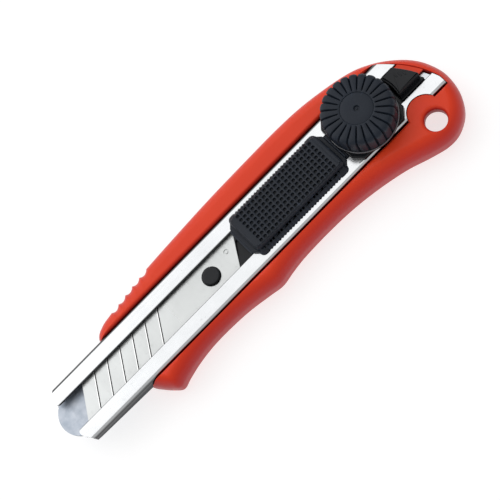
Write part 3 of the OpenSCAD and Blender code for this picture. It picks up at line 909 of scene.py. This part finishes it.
def knob():
    """Ribs like low roofs run out from the cap, with a narrow groove between each two."""
    ribs, per = 24, 14
    groove_edge, groove_h, groove_r, roof_h, roof_r = 0.80, 0.75, 0.62, 0.14, 0.30
    side_r = 9.0                       # where the top starts to turn into the side
    z0, z1 = knob_lo.z, knob_hi.z
    r_cap = (cap_hi.x - cap_lo.x) / 2 + 0.03
    n = ribs * per

    # Radius, height and how much of the rib shows, from the cap out and down the side
    run = [(r_cap, z1 - 0.10, 0.0), (r_cap + 0.25, z1 - 0.04, 0.0), (r_cap + 0.55, z1, 0.35),
           (r_cap + 0.9, z1, 1.0), (7.5, z1, 1.0), (9.2, z1 - 0.03, 1.0), (10.1, z1 - 0.12, 1.0),
           (10.7, z1 - 0.34, 1.0), (11.15, z1 - 0.75, 1.0), (11.42, z1 - 1.3, 1.0),
           (KNOB_R, z1 - 2.0, 1.0), (KNOB_R, z0 + 1.2, 1.0), (KNOB_R - 0.08, z0 + 0.5, 0.8),
           (KNOB_R - 0.5, z0 + 0.1, 0.3), (KNOB_R - 0.9, z0, 0.0)]
    s = Shape()
    rings = []
    for r, z, show in run:
        steep = min(1.0, max(0.0, (r - side_r) / (KNOB_R - side_r)))
        pts = []
        for k in range(n):
            # u is the place across a rib: 0 on its crest, 1 in the grooves beside it
            u = abs((k % per) / per * 2 - 1)
            a = 2 * math.pi * k / n
            groove = max(0.0, (u - groove_edge) / (1 - groove_edge)) ** 0.7 * show
            dz = (groove_h * groove + roof_h * u ** 1.6 * show) * (1 - 0.75 * steep)
            dr = (groove_r * groove + roof_r * u ** 2 * show) * steep
            pts.append((KNOB_X + (r - dr) * math.cos(a), (r - dr) * math.sin(a), z - dz))
        rings.append(s.ring(pts))
    bore, seat = 4.42, z1 - 0.86
    for r, z in ((bore, z0), (bore, seat), (r_cap, seat)):
        rings.append(s.ring([(KNOB_X + r * math.cos(2 * math.pi * k / n),
                              r * math.sin(2 * math.pi * k / n), z) for k in range(n)]))
    for a, b in zip(rings, rings[1:]):
        s.bridge(a, b)
    s.bridge(rings[-1], rings[0])
    body = s.piece("ribbed_knob")
    return fitted(body, "knob", BLACK_KNOB, ["lock_knob"], 38)


def cap():
    """A slightly domed disc, with a small dimple in its middle and a raised point in that."""
    z0, z1 = cap_lo.z, cap_hi.z
    r = (cap_hi.x - cap_lo.x) / 2
    profile = [(0, z0), (r, z0), (r, z1 - 0.30), (r - 0.06, z1 - 0.22), (r - 0.2, z1 - 0.17)]
    profile += [(3.4, z1 - 0.10), (1.6, z1 - 0.08), (1.05, z1 - 0.10), (0.92, z1 - 0.2),
                (0.8, z1 - 0.65), (0.3, z1 - 0.65), (0.22, z1 - 0.45), (0, z1 - 0.42)]
    body = lathe("knob_button", profile, KNOB_X, 0, 96)
    return fitted(body, "knob", BLACK_KNOB, ["knob_cap"])


# ---------------------------------------------------------------- the end block
def end_block():
    z_low, z_high, in_slot = block_lo.z, block_hi.z, 10.9

    def plan(r_face, half, gap):
        """What lies between an arc about the knob and the channel's rear end, y = -half to half."""
        r_corner, n = 0.35, 20
        a = math.degrees(math.asin(half / r_face))
        front = arc(KNOB_X, 0, r_face, a, -a, n)
        back = arc(*REAR, REAR_R - gap, rear_angle(-half, -gap), rear_angle(half, -gap), n)
        radii = [r_corner] + [0] * (n - 1) + [r_corner]
        return rounded(front + back, radii + radii, 3)

    body = slab("end_stop", plan(13.15, 3.9, 2.5), 11.5, z_high - 0.12, top=0.4)
    parts = []
    # Three plain raised bars on the top
    for k in range(3):
        x = 67.0 + 1.15 * k
        y = 0.2 - 0.75 * k
        bar = rounded([(x, y), (x + 0.5, y - 0.1), (x + 0.5, y + 2.0), (x, y + 2.2)], 0.12, 3)
        parts.append(slab("bar", bar, z_high - 0.4, z_high, top=0.1))
    parts.append(slab("ledge", plan(12.8, 3.85, 6.0), in_slot, z_high - 1.0, top=0.15))
    parts.append(slab("skirt", plan(12.9, 4.9, 2.2), in_slot, LIP_TOP + 0.35, top=0.2))
    # A foot in the channel, its rear corner cut away
    front, back, left_y = 62.4, 71.6, RUN_W - 0.3
    foot = [(front, -RUN_W), (back, -RUN_W), (back, 2.0), (66.0, left_y), (front, left_y)]
    parts.append(slab("foot", rounded(foot, 0.5, 4), z_low, UNDER_LIP, top=0.1))
    join(body, parts)
    body.name = "end_stop"
    return fitted(body, "handle", BLACK_GLOSS, ["end_block"])


# ---------------------------------------------------------------- build
grip()
channel()
blade()
carrier()
slide_base()
thumb_pad()
shoe()
washer()
knob()
cap()
end_block()

HARDWARE = {
    "channel_rivets": ZINC, "end_block_pin": ZINC, "slide_screws": ZINC, "clamp_bolt": ZINC,
    "friction_spring": BRIGHT, "wave_washer": BRIGHT, "clamp_plate": BRIGHT,
    "retaining_clip": BRIGHT, "knob_nut": BRASS,
}
for node, material in HARDWARE.items():
    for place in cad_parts[node].material_slots:
        place.material = material


# ---------------------------------------------------------------- stage, light and camera
def floor():
    mesh = bpy.data.meshes.new("floor")
    size, z = 3.0, -0.0002
    mesh.from_pydata([(-size, -size, z), (size, -size, z), (size, size, z), (-size, size, z)], [],
                     [(0, 1, 2, 3)])
    obj = bpy.data.objects.new("floor", mesh)
    scene.collection.objects.link(obj)
    m = Nodes("pale_floor")
    m.set(Base_Color=(0.4, 0.4, 0.402, 1), Roughness=0.9, Specular_IOR_Level=0.1)
    m.set(Emission_Color=(1, 1, 1, 1), Emission_Strength=0.72)
    mesh.materials.append(m.mat)


def area_light(name, place, size, power):
    """A white rectangle of light aimed at the origin."""
    data = bpy.data.lights.new(name, "AREA")
    data.shape, data.size, data.size_y = "RECTANGLE", size[0], size[1]
    data.energy = power
    obj = bpy.data.objects.new(name, data)
    obj.location = place
    aim = Vector((0, 0, 0)) - Vector(place)
    obj.rotation_euler = aim.to_track_quat("-Z", "Y").to_euler()
    scene.collection.objects.link(obj)


def studio():
    world = bpy.data.worlds.new("studio")
    world.use_nodes = True
    back = world.node_tree.nodes["Background"]
    back.inputs["Color"].default_value = (1.0, 1.0, 1.0, 1)
    back.inputs["Strength"].default_value = 0.5
    scene.world = world
    area_light("overhead", (0.0, 0.35, 1.0), (1.3, 0.9), 2.5)
    area_light("key", (-0.30, 0.75, 0.55), (1.6, 1.0), 4.7)
    scene.view_settings.view_transform = "Standard"


def camera():
    """A 100 mm lens 0.417 m away, square to the knife and tilted towards its cutting side."""
    tilt, roll, distance = math.asin(0.384), math.radians(45.39), 417 * MM
    aim = Vector((-0.41, -3.66, LIP_TOP)) * MM
    back = Vector((0, -math.sin(tilt), math.cos(tilt)))
    along, across = Vector((1, 0, 0)), Vector((0, math.cos(tilt), math.sin(tilt)))
    right = math.cos(roll) * along - math.sin(roll) * across
    up = math.sin(roll) * along + math.cos(roll) * across
    data = bpy.data.cameras.new("camera")
    data.lens, data.sensor_width = 100.0, 36.0
    data.clip_start, data.clip_end = 0.01, 20
    obj = bpy.data.objects.new("camera", data)
    turn = Matrix((right, up, back)).transposed()
    obj.matrix_world = Matrix.Translation(aim + back * distance) @ turn.to_4x4()
    scene.collection.objects.link(obj)
    scene.camera = obj


floor()
studio()
camera()
